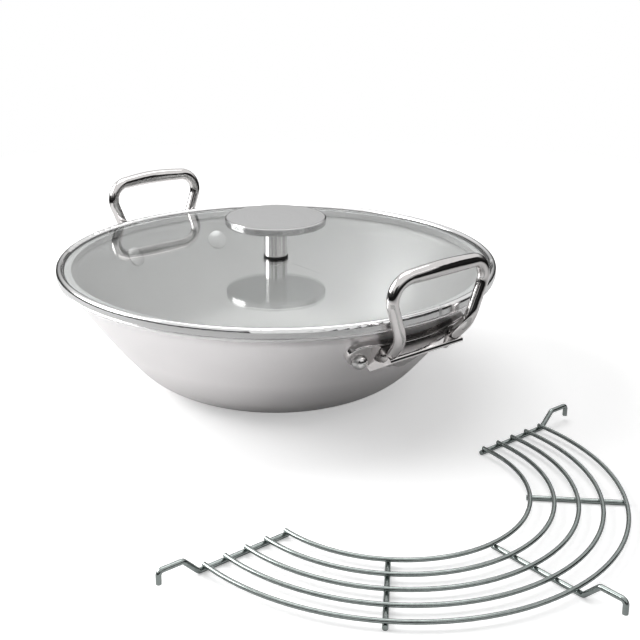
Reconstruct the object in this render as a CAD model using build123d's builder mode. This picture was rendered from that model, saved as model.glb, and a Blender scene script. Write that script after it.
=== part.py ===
"""A two-handled clad steel wok with a flat glass lid and a half-round wire rack that hooks on its rim.

Millimetres, +Z up. The origin is the centre of the flat base, on the surface that the wok stands on.
The handles lie on the X axis. The rack stands by itself, flat on the same surface beside the wok.
"""

import os
from math import asin, cos, hypot, pi, radians, sin

from build123d import *

# Pan
base_radius = 58.0  # flat that stands on the hob
knee_radius = 102.0  # where the base curve hands over to the wall curve
knee_height = 20.0
wall_top_radius = 142.0  # outside of the wall where the lip starts to flare
wall_top_height = 73.4
wall_thickness = 2.6  # five bonded plies
lip_radius = 151.4
lip_height = 82.6
lip_edge = 2.4  # height of the lip's outer edge
lip_land = 2.0  # width of the flat on top of the lip
lip_break = 0.5

# Lid
band_radius = 152.0
band_wall = 1.8
band_ledge = 1.2  # shelf under the glass, which stands on the lip
hem_rise = 1.8  # the rolled hem stands this much above the glass
hem_width = 4.6
locator_radius = 143.0  # ring that keeps the lid in the mouth of the pan
locator_wall = 1.2
locator_drop = 3.2
glass_thickness = 3.2
glass_rise = 0.8  # the middle of the glass above its edge
glass_flat = 12.0  # flat margin of the glass that the band grips
glass_clearance = 0.1
glass_land = 3.6
glass_hole_radius = 3.0
band_crease = 0.7

# Knob
knob_radius = 35.2
knob_thickness = 5.4
knob_bevel = 0.7
knob_under_round = 1.6
stem_radius = 8.0
stem_length = 22.2
stem_break = 0.3
gasket_thickness = 1.0
gasket_radius = 8.6
washer_radius = 9.5
washer_thickness = 1.2
screw_radius = 2.4
screw_clearance = 0.15
screw_head_radius = 4.6
screw_head_height = 2.8
screw_socket_radius = 1.7
screw_socket_depth = 1.6
screw_head_round = 0.6
screw_bite = 9.0  # length of screw inside the stem
stud_radius = 3.5  # pin of the stem in the underside of the disc
stud_length = 3.0
stud_clearance = 0.05

# Handles
plate_place = 0.81  # middle of the plate, as a share of the wall curve from the knee to the lip
plate_half_width = 49.0
plate_end_radius = 10.0
plate_shoulder = 25.0  # where the lower edge starts to swell towards its tip
plate_drop = 9.0
plate_tip_drop = 20.0
plate_tip = 2.5
plate_thickness = 4.0
plate_seat_gap = 0.02
plate_round = 1.0
block_half_width = 31.0
block_rise = 8.0
block_drop = 12.0
block_lip = 1.5
block_back = 5.0  # back of the block before the wall's shape is cut from it
block_standoff = 13.0  # front of the thick middle, from the wall
block_corner = 6.0
block_round = 2.4
grip_reach = 157.5  # distance of the grip's corners from the pan's axis
grip_height = 115.5
grip_bow = 3.5
grip_arch = 2.5
grip_half_width = 43.5
grip_corner_radius = 13.0
grip_crown_radius = 160.0
leg_half_width = 29.0
leg_reach = 155.5
leg_height = 77.0
leg_bend_radius = 22.0
foot_half_width = 24.0
foot_reach = 139.0
foot_height = 58.0
foot_width = 8.2
foot_depth = 7.8
leg_width = 7.6
leg_depth = 7.2
corner_width = 8.8
corner_depth = 8.2
grip_width = 10.0
grip_depth = 8.6

# Rivets
rivet_pitch = 78.0
rivet_place = 0.79  # the rivets, as a share of the same wall curve
rivet_shank_radius = 3.0
rivet_clearance = 0.05
rivet_ball_radius = 5.0  # round head outside
rivet_ball_top = 9.0
rivet_dome_radius = 7.5  # low dome inside
rivet_dome_height = 2.4
rivet_rim = 0.8  # straight side of each head, above the steel under it

# Rack
ring_inner_radius = 77.0
ring_pitch = 13.0
ring_count = 5
ring_wire = 2.5
spoke_wire = 3.0
weld_gap = 0.02
spoke_overrun = 1.6  # spokes run past the first and last ring
hook_rise = 9.0
hook_ramp = 9.0
hook_reach = 155.5
hook_drop = 7.0
hook_bend = 2.4
rack_centre_x = 182.0
rack_centre_y = -60.0
rack_turn = 90.0  # direction of the straight side, in degrees from +X

os.makedirs("parts", exist_ok=True)


def save(part, label):
    """Labels a finished piece and writes it to its own file."""
    part.label = label
    export_step(part, f"parts/{label}.step")


def end_tangent(start, tangent, end):
    """Direction at the end of an arc that leaves start along tangent and stops at end."""
    chord = (Vector(*end) - Vector(*start)).normalized()
    return chord * (2 * chord.dot(tangent)) - tangent


level = Vector(1, 0)
knee_tangent = end_tangent((base_radius, 0), level, (knee_radius, knee_height))
wall_tangent = end_tangent(
    (knee_radius, knee_height), knee_tangent, (wall_top_radius, wall_top_height)
)


def beside(point, tangent, offset):
    """The point moved out of the pan, square to the wall there, by offset."""
    return (point[0] + tangent.Y * offset, point[1] - tangent.X * offset)


def wall_points(offset):
    """Ends of the base's flat, of the knee and of the wall, moved out by offset."""
    return (
        beside((base_radius, 0), level, offset),
        beside((knee_radius, knee_height), knee_tangent, offset),
        beside((wall_top_radius, wall_top_height), wall_tangent, offset),
    )


def wall_curve(offset):
    """Draws the knee and the wall in the open line, at a distance from the outside of the pan."""
    flat_end, knee_end, wall_end = wall_points(offset)
    knee = TangentArc(flat_end, knee_end, tangent=level)
    TangentArc(knee @ 1, wall_end, tangent=knee_tangent)


# Pan: one drawn bowl with a flared lip
lip_under = (lip_radius - lip_edge / 2, lip_height - lip_edge)
lip_inside = (lip_radius - lip_land, lip_height)
with BuildPart() as pan_body:
    with BuildSketch(Plane.XZ) as pan_section:
        with BuildLine():
            outer_flat, _, outer_top = wall_points(0)
            inner_flat, _, inner_top = wall_points(-wall_thickness)
            Line((0, 0), outer_flat)
            wall_curve(0)
            TangentArc(outer_top, lip_under, tangent=wall_tangent)
            Line(lip_under, (lip_radius, lip_height - lip_edge / 2))
            Line((lip_radius, lip_height - lip_edge / 2), (lip_radius, lip_height - lip_break))
            Line((lip_radius, lip_height - lip_break), (lip_radius - lip_break, lip_height))
            Line((lip_radius - lip_break, lip_height), lip_inside)
            TangentArc(inner_top, lip_inside, tangent=wall_tangent)
            wall_curve(-wall_thickness)
            Line(inner_flat, (0, wall_thickness))
            Line((0, wall_thickness), (0, 0))
        make_face()
    revolve(axis=Axis.Z)

# Plane on the wall at the middle of a handle's plate: x runs along the rim, y up the wall, z outwards
with BuildLine() as wall_only:
    TangentArc(wall_points(0)[1], wall_points(0)[2], tangent=knee_tangent)
plate_point = wall_only.line @ plate_place
plate_tangent = wall_only.line % plate_place
plate_normal = Vector(plate_tangent.Y, 0, -plate_tangent.X)
plate_plane = Plane((plate_point.X, 0, plate_point.Y), x_dir=(0, 1, 0), z_dir=plate_normal)
side_plane = Plane((plate_point.X, 0, plate_point.Y), x_dir=plate_normal, z_dir=(0, -1, 0))
reach = 20.0  # how far the cutting prisms reach behind and in front of the wall


def wall_layer(near, far):
    """A ring that follows the outside of the wall, from near to far off it."""
    with BuildPart() as layer:
        with BuildSketch(Plane.XZ):
            with BuildLine():
                wall_curve(near)
                wall_curve(far)
                Line(wall_points(near)[0], wall_points(far)[0])
                Line(wall_points(near)[2], wall_points(far)[2])
            make_face()
        revolve(axis=Axis.Z)
    return layer.part


def wall_core(offset):
    """Everything inside the wall's surface moved out by offset."""
    with BuildPart() as core:
        with BuildSketch(Plane.XZ):
            with BuildLine():
                flat_end, _, wall_end = wall_points(offset)
                wall_curve(offset)
                Line(wall_end, (0, wall_end[1]))
                Line((0, wall_end[1]), (0, flat_end[1]))
                Line((0, flat_end[1]), flat_end)
            make_face()
        revolve(axis=Axis.Z)
    return core.part


# Handle: plate that hugs the wall, thick middle and arched grip, cast in one piece
plate_layer = wall_layer(plate_seat_gap, plate_seat_gap + plate_thickness)
seat_core = wall_core(plate_seat_gap)
with BuildPart() as plate:
    add(plate_layer)
    with BuildSketch(plate_plane.offset(-reach)):
        wing = plate_half_width - plate_end_radius
        with BuildLine():
            Line((-wing, plate_end_radius), (wing, plate_end_radius))
            Line((-plate_tip, -plate_tip_drop), (plate_tip, -plate_tip_drop))
            for side in (-1, 1):
                wing_top = (side * wing, plate_end_radius)
                wing_foot = (side * wing, -plate_end_radius)
                ThreePointArc(wing_top, (side * plate_half_width, 0), wing_foot)
                Spline(
                    wing_foot,
                    (side * plate_shoulder, -plate_drop - 1.5),
                    (side * plate_tip, -plate_tip_drop),
                    tangents=((-side, 0), (-side, -0.6)),
                )
        make_face()
    extrude(amount=2 * reach, mode=Mode.INTERSECT)
    fillet(plate.faces().sort_by(SortBy.AREA)[-1].edges(), plate_round)

with BuildPart() as block:
    with BuildSketch(side_plane):
        with BuildLine():
            Polyline(
                (-block_back, -block_drop),
                (plate_thickness, -block_drop),
                (block_standoff, block_rise - block_lip),
                (block_standoff - 1.0, block_rise),
                (-block_back, block_rise),
                close=True,
            )
        make_face()
    extrude(amount=block_half_width, both=True)
    fillet(block.edges().filter_by(Axis.Y).group_by(Axis.X)[-1], block_round)
    add(seat_core, mode=Mode.SUBTRACT)

grip_half = [
    (grip_reach + grip_bow, 0, grip_height + grip_arch),
    (grip_reach, grip_half_width, grip_height),
    (leg_reach, leg_half_width, leg_height),
    (foot_reach, foot_half_width, foot_height),
]
grip_points = [(x, -y, z) for x, y, z in reversed(grip_half)] + grip_half[1:]
grip_radii = [leg_bend_radius, grip_corner_radius, grip_crown_radius, grip_corner_radius, leg_bend_radius]
grip_sections = [
    (0, foot_depth, foot_width),
    (0.2, leg_depth, leg_width),
    (0.36, corner_depth, corner_width),
    (0.5, grip_depth, grip_width),
    (0.64, corner_depth, corner_width),
    (0.8, leg_depth, leg_width),
    (1, foot_depth, foot_width),
]
with BuildPart() as grip:
    with BuildLine() as grip_path:
        FilletPolyline(*grip_points, radius=grip_radii)
    for share, depth, width in grip_sections:
        along = grip_path.line % share
        outwards = Vector(1, 0, 0) - along * along.X
        with BuildSketch(Plane(grip_path.line @ share, x_dir=outwards, z_dir=along)):
            Ellipse(depth / 2, width / 2)
    sweep(path=grip_path.wires()[0], multisection=True)

with BuildPart() as front_handle:
    add(plate.part)
    add(block.part)
    add(grip.part)


# Rivets: a ball head outside the plate, a shank through plate and wall, a flat dome inside
plate_core = wall_core(2 * plate_seat_gap + plate_thickness)
hollow_core = wall_core(-wall_thickness - plate_seat_gap)
rivet_point = wall_only.line @ rivet_place
rivet_tangent = wall_only.line % rivet_place
rivet_turn = asin(rivet_pitch / 2 / rivet_point.X)


def rivet_plane(turn):
    """Plane on the outside of the wall at a turn about the pan's axis, z outwards."""
    outwards = Vector(rivet_tangent.Y * cos(turn), rivet_tangent.Y * sin(turn), -rivet_tangent.X)
    spot = Vector(rivet_point.X * cos(turn), rivet_point.X * sin(turn), rivet_point.Y)
    return Plane(spot, x_dir=(-sin(turn), cos(turn), 0), z_dir=outwards)


def shank(turn, radius):
    """A bar along a rivet's axis, from inside the wall to outside the plate."""
    with BuildPart() as bar:
        with BuildSketch(rivet_plane(turn).offset(-wall_thickness - 1)):
            Circle(radius)
        extrude(amount=wall_thickness + plate_thickness + 2)
    return bar.part


def rivet(turn, label):
    """One rivet, its heads shaped to the plate outside and to the wall inside."""
    here = rivet_plane(turn)
    bar = shank(turn, rivet_shank_radius)
    with BuildPart() as ball:
        with BuildSketch(Plane(here.origin, x_dir=here.z_dir, z_dir=here.x_dir)):
            with BuildLine():
                ball_base = plate_thickness - 1
                Polyline((ball_base, rivet_ball_radius), (ball_base, 0), (rivet_ball_top, 0))
                ball_rim = (plate_thickness + rivet_rim, rivet_ball_radius)
                TangentArc((rivet_ball_top, 0), ball_rim, tangent=(0, 1))
                Line(ball_rim, (ball_base, rivet_ball_radius))
            make_face()
        revolve(axis=Axis(here.origin, here.z_dir))
        add(plate_core, mode=Mode.SUBTRACT)
    with BuildPart() as dome:
        with BuildSketch(Plane(here.origin, x_dir=here.z_dir, z_dir=here.x_dir)):
            with BuildLine():
                dome_base = -wall_thickness + 0.5
                dome_rim = (-wall_thickness - rivet_rim, rivet_dome_radius)
                dome_top = (-wall_thickness - rivet_dome_height, 0)
                Polyline(dome_top, (dome_base, 0), (dome_base, rivet_dome_radius), dome_rim)
                TangentArc(dome_top, dome_rim, tangent=(0, 1))
            make_face()
        revolve(axis=Axis(here.origin, here.z_dir))
        add(hollow_core, mode=Mode.INTERSECT)
    with BuildPart() as whole:
        add(bar)
        add(ball.part)
        add(dome.part)
    save(whole.part, label)


rivet_turns = {"front_left": -rivet_turn, "front_right": rivet_turn}
rivet_turns |= {"back_left": pi + rivet_turn, "back_right": pi - rivet_turn}
for place, turn in rivet_turns.items():
    rivet(turn, f"rivet_{place}")

holes = [shank(turn, rivet_shank_radius + rivet_clearance) for turn in rivet_turns.values()]
with BuildPart() as drilled_handle:
    add(front_handle.part)
    add(holes, mode=Mode.SUBTRACT)
save(drilled_handle.part, "front_handle")
save(drilled_handle.part.rotate(Axis.Z, 180), "back_handle")

with BuildPart() as drilled_pan:
    add(pan_body.part)
    add(holes, mode=Mode.SUBTRACT)
save(drilled_pan.part, "pan_body")

# Lid: a steel band that stands on the pan's lip, and the glass held under its rolled hem
ledge_top = lip_height + band_ledge
glass_edge_top = ledge_top + glass_thickness
with BuildPart() as lid_band:
    with BuildSketch(Plane.XZ):
        with BuildLine():
            hem_inner = (band_radius - hem_width, glass_edge_top + glass_clearance)
            hem_outer = (band_radius, glass_edge_top - band_crease)
            Polyline(
                hem_inner,
                (band_radius - band_wall, glass_edge_top + glass_clearance),
                (band_radius - band_wall, ledge_top),
                (locator_radius - locator_wall, ledge_top),
                (locator_radius - locator_wall, lip_height - locator_drop),
                (locator_radius, lip_height - locator_drop),
                (locator_radius, lip_height),
                (band_radius - band_crease, lip_height),
                (band_radius, lip_height + band_crease),
                hem_outer,
            )
            ThreePointArc(
                hem_outer,
                (band_radius - hem_width / 2 + 0.2, glass_edge_top + hem_rise),
                hem_inner,
            )
        make_face()
    revolve(axis=Axis.Z)
save(lid_band.part, "lid_band")

glass_radius = band_radius - band_wall - glass_clearance
glass_margin = glass_radius - glass_land
glass_middle = (glass_flat + glass_margin) / 2
glass_top = glass_edge_top + glass_rise
with BuildPart() as lid_glass:
    with BuildSketch(Plane.XZ):
        with BuildLine():
            for height in (ledge_top, glass_edge_top):
                Line((glass_radius, height), (glass_margin, height))
                ThreePointArc(
                    (glass_margin, height),
                    (glass_middle, height + 0.75 * glass_rise),
                    (glass_flat, height + glass_rise),
                )
                Line((glass_flat, height + glass_rise), (glass_hole_radius, height + glass_rise))
            Line((glass_radius, ledge_top), (glass_radius, glass_edge_top))
            Line((glass_hole_radius, ledge_top + glass_rise), (glass_hole_radius, glass_top))
        make_face()
    revolve(axis=Axis.Z)
save(lid_glass.part, "lid_glass")

# Knob: a flat disc on a round stem, a screw from below and a soft ring on each side of the glass
screw_hole_radius = screw_radius + screw_clearance
glass_under = ledge_top + glass_rise


def flat_ring(bottom, thickness, radius, label):
    """A washer-shaped ring around the screw."""
    with BuildPart() as ring:
        with BuildSketch(Plane.XY.offset(bottom)):
            Circle(radius)
            Circle(screw_hole_radius, mode=Mode.SUBTRACT)
        extrude(amount=thickness)
    save(ring.part, label)


flat_ring(glass_top, gasket_thickness, gasket_radius, "knob_gasket")
flat_ring(glass_under - gasket_thickness, gasket_thickness, gasket_radius, "under_gasket")
washer_bottom = glass_under - gasket_thickness - washer_thickness
flat_ring(washer_bottom, washer_thickness, washer_radius, "knob_washer")

stem_bottom = glass_top + gasket_thickness
stem_top = stem_bottom + stem_length
with BuildPart() as knob_stem:
    with BuildSketch(Plane.XY.offset(stem_bottom)):
        Circle(stem_radius)
    extrude(amount=stem_length)
    chamfer(knob_stem.edges().group_by(Axis.Z)[0], stem_break)
    with BuildSketch(Plane.XY.offset(stem_bottom)):
        Circle(screw_hole_radius)
    extrude(amount=screw_bite + 1, mode=Mode.SUBTRACT)
    with BuildSketch(Plane.XY.offset(stem_top)):
        Circle(stud_radius)
    extrude(amount=stud_length)
save(knob_stem.part, "knob_stem")

with BuildPart() as knob_disc:
    with BuildSketch(Plane.XY.offset(stem_top)):
        Circle(knob_radius)
    extrude(amount=knob_thickness)
    chamfer(knob_disc.edges().group_by(Axis.Z)[-1], knob_bevel)
    fillet(knob_disc.edges().group_by(Axis.Z)[0], knob_under_round)
    with BuildSketch(Plane.XY.offset(stem_top)):
        Circle(stud_radius + stud_clearance)
    extrude(amount=stud_length + stud_clearance, mode=Mode.SUBTRACT)
save(knob_disc.part, "knob_disc")

with BuildPart() as knob_screw:
    with BuildSketch(Plane.XY.offset(washer_bottom)):
        Circle(screw_radius)
    extrude(amount=stem_bottom + screw_bite - washer_bottom)
    with BuildSketch(Plane.XY.offset(washer_bottom - screw_head_height)):
        Circle(screw_head_radius)
    extrude(amount=screw_head_height)
    fillet(knob_screw.edges().group_by(Axis.Z)[0], screw_head_round)
    with BuildSketch(Plane.XY.offset(washer_bottom - screw_head_height)):
        RegularPolygon(screw_socket_radius, 6)
    extrude(amount=screw_socket_depth, mode=Mode.SUBTRACT)
save(knob_screw.part, "knob_screw")

# Rack: half rings on spokes, three of the spokes ending in hooks for the pan's lip
rack_out = Vector(cos(radians(rack_turn)), sin(radians(rack_turn)), 0)
rack_centre = Vector(rack_centre_x, rack_centre_y, 0)
ring_height = spoke_wire + weld_gap + ring_wire / 2
outer_ring = ring_inner_radius + (ring_count - 1) * ring_pitch
for number in range(ring_count):
    radius = ring_inner_radius + number * ring_pitch
    with BuildPart() as ring:
        start = rack_centre - rack_out * radius + Vector(0, 0, ring_height)
        with BuildSketch(Plane(start, x_dir=rack_out, z_dir=rack_out.cross(Vector(0, 0, 1)))):
            Circle(ring_wire / 2)
        revolve(axis=Axis(rack_centre, (0, 0, 1)), revolution_arc=180)
    save(ring.part, f"rack_ring_{number + 1}")


def spoke(turn, points, label):
    """A bent wire in the upright plane through the rack's centre, at a turn from its open side."""
    out = (-rack_out).rotate(Axis.Z, turn)
    places = [rack_centre + out * along + Vector(0, 0, up) for along, up in points]
    with BuildPart() as wire:
        with BuildLine() as path:
            if len(places) > 2:
                FilletPolyline(*places, radius=hook_bend)
            else:
                Line(*places)
        with BuildSketch(Plane(places[0], z_dir=out)):
            Circle(spoke_wire / 2)
        sweep(path=path.wires()[0])
    save(wire.part, label)


spoke_start = ring_inner_radius - spoke_overrun
spoke_end = outer_ring + spoke_overrun
low = spoke_wire / 2
hook_top = low + hook_rise
hook_points = [
    (spoke_start, low),
    (spoke_end + spoke_overrun, low),
    (spoke_end + spoke_overrun + hook_ramp, hook_top),
    (hook_reach, hook_top),
    (hook_reach, hook_top - hook_drop),
]
brace_points = [(spoke_start, low), (spoke_end, low)]
for turn, place in ((0, "left"), (90, "middle"), (180, "right")):
    spoke(turn, hook_points, f"rack_hook_{place}")
for turn, place in ((45, "left"), (135, "right")):
    spoke(turn, brace_points, f"rack_brace_{place}")
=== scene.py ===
"""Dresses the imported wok: satin pan, polished cast handles, clear glass lid and bright wire rack."""

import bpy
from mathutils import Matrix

bl_info = {
    "name": "Wok with glass lid and wire rack",
    "version": (1, 0, 0),
    "blender": (4, 5, 0),
    "location": "3D View > Sidebar > Wok",
    "description": "Finishes for the pan, lid, knob, handles and rack, and a pale studio",
    "category": "Object",
}

from math import cos, radians, sin

import bmesh
import bpy
from bpy.props import FloatProperty, FloatVectorProperty, PointerProperty
from mathutils import Matrix, Vector

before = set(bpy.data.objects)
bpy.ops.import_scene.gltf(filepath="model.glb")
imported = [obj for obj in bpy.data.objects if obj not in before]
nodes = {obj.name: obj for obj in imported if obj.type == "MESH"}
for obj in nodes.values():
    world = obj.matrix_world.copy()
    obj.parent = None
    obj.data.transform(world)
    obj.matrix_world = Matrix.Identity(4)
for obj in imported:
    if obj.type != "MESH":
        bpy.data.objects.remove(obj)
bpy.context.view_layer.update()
white = (1.0, 1.0, 1.0, 1.0)


def reach(name, axis):
    """The far end of a piece along an axis, 0 for X to 2 for Z, in metres."""
    return max(corner[axis] for corner in nodes[name].bound_box)


rim_radius, rim_height = reach("pan_body", 0), reach("pan_body", 2)
band_height = reach("lid_band", 2)
knob_radius, knob_height = reach("knob_disc", 0), reach("knob_disc", 2)

# Where one finish, or a painted shade, turns into the next, in metres: each pair is the start and the end of
# the change
lip_edge = (rim_radius - 0.0026, rim_radius - 0.0017)  # radius, from the satin wall to the bright lip
foot_shade = (0.004, 0.038)  # height, from the painted shade low on the outside of the wall to the rest of it
block_side = (0.0295, 0.0325)  # distance from the handle's middle, from its block to its ends
block_recess = (rim_radius - 0.0079, rim_radius - 0.0059)  # along X, from the painted shade in the corner to the front
block_top = (rim_height - 0.0066, rim_height - 0.0026)  # height, from the painted shade in the corner to the grip
rivet_tip = (0.1345, 0.1355)  # along X, from the satin rivets, in the painted shade of the pan's inside, to the bright tips outside
hem_height = (band_height - 0.0020, band_height - 0.0012)  # height, from the band's side to its hem
knob_face_height = (knob_height - 0.0006, knob_height - 0.0002)  # height, from the edge to the turned face
knob_face_radius = (knob_radius - 0.0017, knob_radius - 0.0007)  # radius, from the turned face to its bevel

# The same for the share of a surface's normal that points up
inside_turn = (-0.05, 0.05)  # from the outside of the pan to the inside
recess_slope = (0.0, 0.35)  # from the upright faces of the block to its top

# The weld of the band: its place round the lid, and its half-width in radians
weld_turn = radians(2.8)
weld_edge = (0.006, 0.011)

# The floor, from where it is lit to where it is plain white: radius as seen, and how much nearer the
# polished steel sees it end
floor_fade = (0.45, 0.9)
mirrored_fade = (0.12, 0.4)
floor_radius = 6.0
floor_glow = 0.4
mirrored_floor = 0.01

# The light from all round, and the dim band above the horizon that polished steel mirrors
sky_light = 0.3
dusk_rise = (0.12, 0.44)
dusk_depth = 0.95

# The camera
rim_middle = Vector((0, 0, 0.086))
camera_lens = 62.44
camera_shift = (0.069, -0.0963)
camera_roll = radians(-0.35)


def plug(tree, place, value):
    """Sets a socket to a plain value, or links it."""
    if isinstance(value, Value):
        tree.links.new(value.socket, place)
    else:
        place.default_value = value


def add_node(tree, kind, settings=None, inputs=None, out=0):
    """Makes a node: first its settings, then the values or links of its sockets."""
    node = tree.nodes.new(kind)
    for key, value in (settings or {}).items():
        setattr(node, key, value)
    for key, value in (inputs or {}).items():
        plug(tree, node.inputs[key], value)
    return Value(tree, node.outputs[out])


def either_shader(tree, share, first, second):
    """The first shader where the share is 0, the second where it is 1."""
    return add_node(tree, "ShaderNodeMixShader", inputs={0: share, 1: first, 2: second})


class Value:
    """A number, vector, colour or shader that runs through a tree of nodes."""

    def __init__(self, tree, socket):
        self.tree = tree
        self.socket = socket

    def maths(self, operation, *terms):
        return add_node(self.tree, "ShaderNodeMath", {"operation": operation}, dict(enumerate(terms)))

    def __add__(self, other):
        return self.maths("ADD", self, other)

    def __radd__(self, other):
        return self.maths("ADD", other, self)

    def __sub__(self, other):
        return self.maths("SUBTRACT", self, other)

    def __rsub__(self, other):
        return self.maths("SUBTRACT", other, self)

    def __mul__(self, other):
        return self.maths("MULTIPLY", self, other)

    def __rmul__(self, other):
        return self.maths("MULTIPLY", other, self)

    def __pow__(self, other):
        return self.maths("POWER", self, other)

    def absolute(self):
        return self.maths("ABSOLUTE", self)

    def larger(self, other):
        return self.maths("MAXIMUM", self, other)

    def ramp(self, low, high):
        """0 at low and 1 at high, straight between them and held outside."""
        limits = {"Value": self, "From Min": low, "From Max": high}
        return add_node(self.tree, "ShaderNodeMapRange", inputs=limits, out="Result")


class Finish:
    """A material, its surface shader and the places on the piece that its nodes read."""

    def __init__(self, name, **surface):
        self.material = bpy.data.materials.new(name)
        self.material.use_nodes = True
        self.tree = self.material.node_tree
        self.shader = self.tree.nodes["Principled BSDF"]
        self.output = self.tree.nodes["Material Output"]
        self.place = self.node("ShaderNodeTexCoord", out="Object")
        self.x, self.y, self.z = (self.part_of(self.place, axis) for axis in "XYZ")
        self.surface(**surface)

    def node(self, kind, settings=None, inputs=None, out=0):
        return add_node(self.tree, kind, settings, inputs, out)

    def surface(self, **values):
        """Sets the shader's sockets, with _ for the space in a name."""
        for key, value in values.items():
            plug(self.tree, self.shader.inputs[key.replace("_", " ")], value)

    def part_of(self, vector, axis):
        return self.node("ShaderNodeSeparateXYZ", inputs={"Vector": vector}, out=axis)

    def facing_up(self):
        """The share of the surface's normal that points up."""
        return self.part_of(self.node("ShaderNodeTexCoord", out="Normal"), "Z")

    def radius(self):
        return (self.x * self.x + self.y * self.y) ** 0.5

    def around(self):
        """The turn round the upright axis, in radians."""
        return self.y.maths("ARCTAN2", self.y, self.x)

    def noise(self, scale, where=None, detail=2.0, rough=0.5):
        return self.node(
            "ShaderNodeTexNoise",
            inputs={"Vector": where or self.place, "Scale": scale, "Detail": detail, "Roughness": rough},
            out="Fac",
        )

    def turned(self, fine, along):
        """Marks of turning or brushing that run around the upright axis."""
        where = {"X": self.radius() * fine, "Y": self.around() * along, "Z": self.z * fine}
        return self.noise(1.0, self.node("ShaderNodeCombineXYZ", inputs=where), detail=3.0, rough=0.6)

    def blend(self, share, first, second):
        """One colour into another, through the colour sockets 6 and 7 and the colour output 2."""
        return self.node("ShaderNodeMix", {"data_type": "RGBA"}, {0: share, 6: first, 7: second}, out=2)

    def glow(self, strength):
        return self.node("ShaderNodeEmission", inputs={"Color": white, "Strength": strength})

    def bump(self, height, strength, distance):
        relief = {"Height": height, "Strength": strength, "Distance": distance}
        self.surface(Normal=self.node("ShaderNodeBump", inputs=relief, out="Normal"))

    def paint(self, *names):
        for name in names:
            material_slots = nodes[name].data.materials
            material_slots.clear()
            material_slots.append(self.material)


def grey(level, warm=0.0):
    return (level + warm, level, level - warm, 1.0)


def dimmed(colour, share):
    """The colour at a share of its brightness."""
    return tuple(share * part for part in colour[:3]) + (1.0,)


def colour_property(name, description, default):
    return FloatVectorProperty(
        name=name, description=description, subtype="COLOR", size=4, min=0, max=1, default=default
    )


class WokColours(bpy.types.PropertyGroup):
    pan_steel: colour_property("Pan steel", "Satin steel of the pan", (0.94, 0.922, 0.924, 1.0))
    # Painted shade: the inside is the same steel as the outside, given a darker copy of its colour
    pan_inside_shaded: colour_property("Pan inside", "Satin steel of the cooking surface", grey(0.52, 0.004))
    # Painted shade: the outside darkens towards the base, where the floor's shadow is mirrored
    pan_foot_painted_shade: colour_property("Pan foot", "Duller steel low on the outside of the pan", grey(0.40, 0.004))
    pan_lip: colour_property("Pan lip", "Bright steel of the flared lip", grey(0.86))
    cast_steel: colour_property("Cast steel", "Polished steel of the handles", (0.70, 0.68, 0.675, 1.0))
    cast_worn: colour_property("Worn casting", "Handles where polishing wore thin", (0.60, 0.58, 0.575, 1.0))
    # Painted shade: dark where shadow and mirrored black fall in the recess between block and wall
    corner_painted_shade: colour_property("Cast corner", "Dark corner between block and wall", grey(0.10, 0.004))
    rivet_worn: colour_property("Worn rivet", "Fine marks on the rivets' outer heads", grey(0.7, 0.005))
    lid_steel: colour_property("Lid steel", "Band of the lid", grey(0.72))
    weld: colour_property("Weld", "Upright weld that closes the band", grey(0.3))
    knob_light: colour_property("Knob, light rings", "Turned face of the knob", grey(0.62))
    knob_dark: colour_property("Knob, dark rings", "Lines between the light rings", grey(0.52))
    stem_dark: colour_property("Stem lines", "Turning lines of the stem and screw", grey(0.66))
    wire_steel: colour_property("Rack wire", "Bright wire of the rack", (0.36, 0.39, 0.38, 1.0))
    wire_dark: colour_property("Wire marks", "Marks of drawing on the wire", (0.20, 0.23, 0.22, 1.0))
    glass_tint: colour_property("Glass tint", "Tint of the lid's glass", (0.97, 0.985, 0.98, 1.0))
    seal_rubber: colour_property("Seals", "Soft rings on both sides of the glass", grey(0.02))
    seal_skin: colour_property("Seal skin", "Pale grains in the soft rings", grey(0.045))
    floor: colour_property("Floor", "Studio floor", grey(0.9))
    card: colour_property("Cards", "Black cards that polished steel mirrors", grey(0.01))


class WokSizes(bpy.types.PropertyGroup):
    brush_lines: FloatProperty(
        name="Brush lines", description="Lines of brushing in each metre", default=1500.0, min=100.0
    )
    satin_depth: FloatProperty(
        name="Satin depth", description="Depth of the brushing", default=0.00002, unit="LENGTH", precision=6
    )
    view_turn: FloatProperty(
        name="View turn",
        description="Turn of the camera from the front",
        default=radians(52),
        unit="ROTATION",
    )
    view_rise: FloatProperty(
        name="View rise", description="Height angle of the camera", default=radians(16.54), unit="ROTATION"
    )
    view_distance: FloatProperty(
        name="View distance", description="Camera from the middle of the rim", default=0.78, unit="LENGTH"
    )


class WOK_OT_pan(bpy.types.Operator):
    """Satin drawn steel: fine brushing that runs around the pan, a brighter turned lip, and painted shade
    inside and low on the outside
    """

    bl_idname = "wok.pan"
    bl_label = "Finish the pan"

    def execute(self, context):
        colours, sizes = context.scene.wok_colours, context.scene.wok_sizes
        steel = Finish("pan_satin_steel", Metallic=1.0)
        brushing = steel.turned(sizes.brush_lines, along=3.0)
        clouds = steel.noise(scale=22.0, detail=3.0)
        lip = steel.radius().ramp(*lip_edge)
        inside = steel.facing_up().ramp(*inside_turn) * (1.0 - lip)
        # Painted shade: the outside darkens towards its base, standing in for the mirrored shadow of the
        # floor
        painted_shade_low = 1.0 - steel.z.ramp(*foot_shade)
        outer = steel.blend(clouds, colours.pan_steel, dimmed(colours.pan_steel, 0.93))
        outer = steel.blend(painted_shade_low * 0.6, outer, colours.pan_foot_painted_shade)
        # Painted shade: the inside takes the darker copy of the same steel
        inner = steel.blend(clouds, colours.pan_inside_shaded, dimmed(colours.pan_inside_shaded, 0.95))
        wall = steel.blend(inside, outer, inner)
        steel.surface(
            Base_Color=steel.blend(lip * 0.6, wall, colours.pan_lip),
            Roughness=0.32 + brushing * 0.12 + clouds * 0.05 - lip * 0.16 + inside * 0.16,
        )
        steel.bump(brushing, strength=0.5, distance=sizes.satin_depth)
        steel.paint("pan_body")
        return {"FINISHED"}


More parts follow.
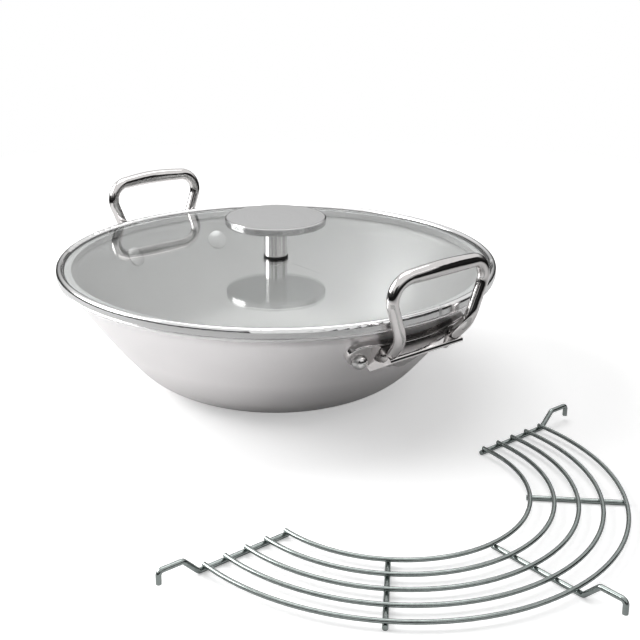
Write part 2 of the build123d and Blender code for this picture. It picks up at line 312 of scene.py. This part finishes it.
class WOK_OT_handles(bpy.types.Operator):
    """Mirror-polished castings, faintly wavy, with painted shade in the corner by the wall, and their rivets
    """

    bl_idname = "wok.handles"
    bl_label = "Finish the handles and rivets"

    def execute(self, context):
        colours = context.scene.wok_colours
        steel = Finish("handle_polished_steel", Metallic=1.0)
        waves = steel.noise(scale=60.0, detail=1.0)
        wear = steel.noise(scale=420.0, detail=3.0, rough=0.65)
        worn = wear.ramp(0.5, 0.8)
        between_legs = 1.0 - steel.y.absolute().ramp(*block_side)
        by_the_wall = 1.0 - steel.x.absolute().ramp(*block_recess)
        below_grip = 1.0 - steel.z.ramp(*block_top)
        # Painted shade: the recess between the block and the wall is darkened where shadow and mirrored
        # black fall
        corner = steel.facing_up().ramp(*recess_slope) * between_legs * by_the_wall * below_grip
        polished = steel.blend(wear, colours.cast_steel, colours.cast_worn)
        steel.surface(
            Base_Color=steel.blend(corner, polished, colours.corner_painted_shade),
            Roughness=0.05 + worn * 0.10 + corner * 0.2,
        )
        steel.bump(waves, strength=0.35, distance=0.0008)
        steel.paint("front_handle", "back_handle")

        rivets = Finish("rivet_polished_steel", Metallic=1.0)
        marks = rivets.noise(scale=700.0, detail=3.0)
        # Away from their bright outer tips, the rivets take the pan's inside colour, the painted shade of
        # the pan's steel
        satin = 1.0 - rivets.x.absolute().ramp(*rivet_tip)
        bright = rivets.blend(marks, colours.cast_steel, colours.rivet_worn)
        rivets.surface(
            Base_Color=rivets.blend(satin, bright, colours.pan_inside_shaded),
            Roughness=0.07 + marks * 0.08 + satin * 0.25,
        )
        rivets.bump(marks, strength=0.2, distance=0.0001)
        rivets.paint(*(f"rivet_{side}_{hand}" for side in ("front", "back") for hand in ("left", "right")))
        return {"FINISHED"}


class WOK_OT_lid(bpy.types.Operator):
    """Clear pressed glass in a steel band, which is closed by one upright weld"""

    bl_idname = "wok.lid"
    bl_label = "Finish the glass and its band"

    def execute(self, context):
        colours, sizes = context.scene.wok_colours, context.scene.wok_sizes
        glass = Finish("lid_clear_glass", Base_Color=colours.glass_tint, Transmission_Weight=1.0, IOR=1.5)
        smears = glass.noise(scale=14.0, detail=4.0, rough=0.6).ramp(0.62, 0.8)
        glass.surface(Roughness=smears * 0.03)
        glass.paint("lid_glass")

        band = Finish("lid_band_steel", Metallic=1.0)
        brushing = band.turned(sizes.brush_lines * 1.4, along=2.0)
        weld = 1.0 - (band.around() - weld_turn).absolute().ramp(*weld_edge)
        weld_grain = band.noise(scale=900.0, detail=3.0)
        hem = band.z.ramp(*hem_height)
        band.surface(
            Base_Color=band.blend(weld * 0.5 * weld_grain, colours.lid_steel, colours.weld),
            Roughness=0.18 + brushing * 0.10 - hem * 0.08 + weld * 0.22,
        )
        band.bump(brushing + weld * weld_grain * 3.0, strength=0.4, distance=sizes.satin_depth)
        band.paint("lid_band")
        return {"FINISHED"}


class WOK_OT_knob(bpy.types.Operator):
    """Turned knob: fine rings on the flat top, bright edge and stem, black rings against the glass"""

    bl_idname = "wok.knob"
    bl_label = "Finish the knob and its screw"

    def execute(self, context):
        colours, sizes = context.scene.wok_colours, context.scene.wok_sizes
        disc = Finish("knob_turned_steel", Metallic=1.0)
        rings = disc.turned(sizes.brush_lines * 1.6, along=1.0)
        face = disc.z.ramp(*knob_face_height) * (1.0 - disc.radius().ramp(*knob_face_radius))
        disc.surface(
            Base_Color=disc.blend(rings, colours.knob_light, colours.knob_dark),
            Roughness=0.12 + face * 0.24 + rings * 0.08,
        )
        disc.bump(rings, strength=0.35, distance=sizes.satin_depth)
        disc.paint("knob_disc")

        stem = Finish("knob_bright_steel", Metallic=1.0)
        lines = stem.turned(sizes.brush_lines * 2.0, along=1.0)
        stem.surface(
            Base_Color=stem.blend(lines, colours.cast_steel, colours.stem_dark),
            Roughness=0.08 + lines * 0.08,
        )
        stem.bump(lines, strength=0.2, distance=sizes.satin_depth)
        stem.paint("knob_stem", "knob_washer", "knob_screw")

        seal = Finish("seal_black_rubber", Specular_IOR_Level=0.35)
        skin = seal.noise(scale=1600.0, detail=4.0)
        seal.surface(
            Base_Color=seal.blend(skin, colours.seal_rubber, colours.seal_skin),
            Roughness=0.45 + skin * 0.25,
        )
        seal.bump(skin, strength=0.3, distance=0.0001)
        seal.paint("knob_gasket", "under_gasket")
        return {"FINISHED"}


class WOK_OT_rack(bpy.types.Operator):
    """Drawn and polished wire with faint dark marks of drawing"""

    bl_idname = "wok.rack"
    bl_label = "Finish the rack"

    def execute(self, context):
        colours = context.scene.wok_colours
        wire = Finish("rack_bright_wire", Metallic=1.0)
        drawing = wire.noise(scale=500.0, detail=3.0)
        wire.surface(
            Base_Color=wire.blend(drawing, colours.wire_steel, colours.wire_dark),
            Roughness=0.10 + drawing * 0.10,
        )
        wire.bump(drawing, strength=0.25, distance=0.0002)
        rings = [f"rack_ring_{number}" for number in range(1, 6)]
        hooks = [f"rack_hook_{place}" for place in ("left", "middle", "right")]
        wire.paint(*rings, *hooks, "rack_brace_left", "rack_brace_right")
        return {"FINISHED"}


def background_rays(tree):
    """Two shares: the rays that see the background, and those of them that metal or glass mirrors."""
    kinds = ("Is Camera Ray", "Is Glossy Ray", "Is Transmission Ray")
    camera, glossy, through = (add_node(tree, "ShaderNodeLightPath", out=kind) for kind in kinds)
    return camera.larger(glossy.larger(through)), glossy * (1.0 - through)


def lay_floor(colour):
    """A round floor that is lit round the wok and fades into plain white, which steel mirrors dark."""
    mesh = bpy.data.meshes.new("floor")
    shape = bmesh.new()
    bmesh.ops.create_circle(shape, cap_ends=True, segments=96, radius=floor_radius)
    shape.to_mesh(mesh)
    shape.free()
    floor = bpy.data.objects.new("floor", mesh)
    bpy.context.scene.collection.objects.link(floor)

    ground = Finish("floor_pale", Base_Color=colour, Roughness=0.9, Specular_IOR_Level=0.0)
    tree = ground.tree
    lit = Value(tree, ground.shader.outputs[0])
    seen, mirrored = background_rays(tree)
    near = ground.node("ShaderNodeAddShader", inputs={0: lit, 1: ground.glow(floor_glow)})
    near = either_shader(tree, mirrored, near, lit)
    beyond = either_shader(tree, mirrored, ground.glow(1.0), ground.glow(mirrored_floor))
    start, end = (edge - mirrored * nearer for edge, nearer in zip(floor_fade, mirrored_fade))
    shown = either_shader(tree, ground.radius().ramp(start, end), near, beyond)
    plug(tree, ground.output.inputs["Surface"], either_shader(tree, seen, lit, shown))
    mesh.materials.append(ground.material)


def surround(scene):
    """A white world, with a dim band above the horizon for polished steel."""
    world = bpy.data.worlds.new("studio")
    world.use_nodes = True
    scene.world = world
    tree = world.node_tree
    plug(tree, tree.nodes["Background"].inputs["Color"], white)
    plug(tree, tree.nodes["Background"].inputs["Strength"], sky_light)
    sky = Value(tree, tree.nodes["Background"].outputs[0])
    seen, mirrored = background_rays(tree)
    direction = add_node(tree, "ShaderNodeTexCoord", out="Generated")
    rise = add_node(tree, "ShaderNodeSeparateXYZ", inputs={"Vector": direction}, out="Z")
    dusk = 1.0 - rise.ramp(*dusk_rise)
    light = {"Color": white, "Strength": 1.0 - mirrored * dusk * dusk_depth}
    backdrop = add_node(tree, "ShaderNodeBackground", inputs=light)
    plug(tree, tree.nodes["World Output"].inputs["Surface"], either_shader(tree, seen, sky, backdrop))


def dark_card(name, place, width, height, colour):
    """An upright black card that polished steel mirrors, and that nothing else shows."""
    mesh = bpy.data.meshes.new(name)
    shape = bmesh.new()
    bmesh.ops.create_grid(shape, x_segments=1, y_segments=1, size=0.5)
    shape.to_mesh(mesh)
    shape.free()
    card = bpy.data.objects.new(name, mesh)
    card.location = place
    card.scale = (width, height, 1)
    card.rotation_euler = Vector((-place.x, -place.y, 0)).to_track_quat("Z", "Y").to_euler()
    card.visible_camera = card.visible_diffuse = card.visible_shadow = card.visible_transmission = False
    mesh.materials.append(Finish(name, Base_Color=colour, Roughness=1.0).material)
    bpy.context.scene.collection.objects.link(card)


def softbox(name, place, width, height, power):
    """An oblong lamp that faces the wok."""
    lamp = bpy.data.lights.new(name, "AREA")
    lamp.shape = "RECTANGLE"
    lamp.size = width
    lamp.size_y = height
    lamp.energy = power
    piece = bpy.data.objects.new(name, lamp)
    piece.location = place
    wok_middle = Vector((0, 0, 0.05))
    piece.rotation_euler = (wok_middle - place).to_track_quat("-Z", "Y").to_euler()
    bpy.context.scene.collection.objects.link(piece)


def place_camera(scene, look, distance):
    """A camera that looks at the middle of the rim, from the direction that look gives."""
    camera = bpy.data.cameras.new("camera")
    camera.sensor_width = 36.0
    camera.lens = camera_lens
    camera.shift_x, camera.shift_y = camera_shift
    camera.clip_start = 0.02
    eye = bpy.data.objects.new("camera", camera)
    facing = look.to_track_quat("Z", "Y").to_matrix().to_4x4()
    place = Matrix.Translation(rim_middle + look * distance)
    eye.matrix_world = place @ facing @ Matrix.Rotation(camera_roll, 4, "Z")
    scene.collection.objects.link(eye)
    scene.camera = eye


class WOK_OT_stage(bpy.types.Operator):
    """Pale floor, white surroundings, black cards, soft lamps and the camera"""

    bl_idname = "wok.stage"
    bl_label = "Set the stage"

    def execute(self, context):
        scene = context.scene
        colours, sizes = scene.wok_colours, scene.wok_sizes
        across = Vector((cos(sizes.view_turn), sin(sizes.view_turn), 0))
        towards = Vector((sin(sizes.view_turn), -cos(sizes.view_turn), 0))
        up = Vector((0, 0, 1))
        lay_floor(colours.floor)
        surround(scene)

        # Each card: its turn round the wok, distance, height, width and own height
        cards = {
            "card_right": (radians(42), 1.4, 0.42, 1.3, 0.8),
            "card_behind_camera": (sizes.view_turn - radians(90), 1.9, 0.5, 0.8, 1.0),
            "card_left": (radians(-75), 1.6, 0.35, 0.5, 0.6),
        }
        for name, (turn, distance, rise, width, height) in cards.items():
            place = Vector((distance * cos(turn), distance * sin(turn), rise))
            dark_card(name, place, width, height, colours.card)

        # Each lamp: how far to the right of the wok, towards the camera and up, its two sizes and its power
        lamps = {
            "key_window": (-1.4, -0.2, 0.9, 1.2, 1.0, 26.0),
            "top_window": (0.0, -0.3, 1.4, 1.2, 1.0, 8.0),
            "fill_window": (1.3, 0.6, 0.5, 0.5, 0.9, 0.8),
        }
        for name, (right, near, rise, width, height, power) in lamps.items():
            softbox(name, across * right + towards * near + up * rise, width, height, power)

        look = towards * cos(sizes.view_rise) + up * sin(sizes.view_rise)
        place_camera(scene, look, sizes.view_distance)
        scene.view_settings.view_transform = "Standard"
        return {"FINISHED"}


class WOK_PT_panel(bpy.types.Panel):
    """The wok's colours, sizes and finishes"""

    bl_label = "Wok"
    bl_idname = "WOK_PT_panel"
    bl_space_type = "VIEW_3D"
    bl_region_type = "UI"
    bl_category = "Wok"

    def draw(self, context):
        for group in (context.scene.wok_colours, context.scene.wok_sizes):
            for name in group.__annotations__:
                self.layout.prop(group, name)
        for operator in operators:
            self.layout.operator(operator.bl_idname)


operators = (WOK_OT_pan, WOK_OT_handles, WOK_OT_lid, WOK_OT_knob, WOK_OT_rack, WOK_OT_stage)
classes = (WokColours, WokSizes, *operators, WOK_PT_panel)


def register():
    for each in classes:
        bpy.utils.register_class(each)
    bpy.types.Scene.wok_colours = PointerProperty(type=WokColours)
    bpy.types.Scene.wok_sizes = PointerProperty(type=WokSizes)


def unregister():
    del bpy.types.Scene.wok_sizes
    del bpy.types.Scene.wok_colours
    for each in reversed(classes):
        bpy.utils.unregister_class(each)


def main():
    register()
    bpy.ops.wok.pan()
    bpy.ops.wok.handles()
    bpy.ops.wok.lid()
    bpy.ops.wok.knob()
    bpy.ops.wok.rack()
    bpy.ops.wok.stage()


if __name__ == "__main__":
    main()
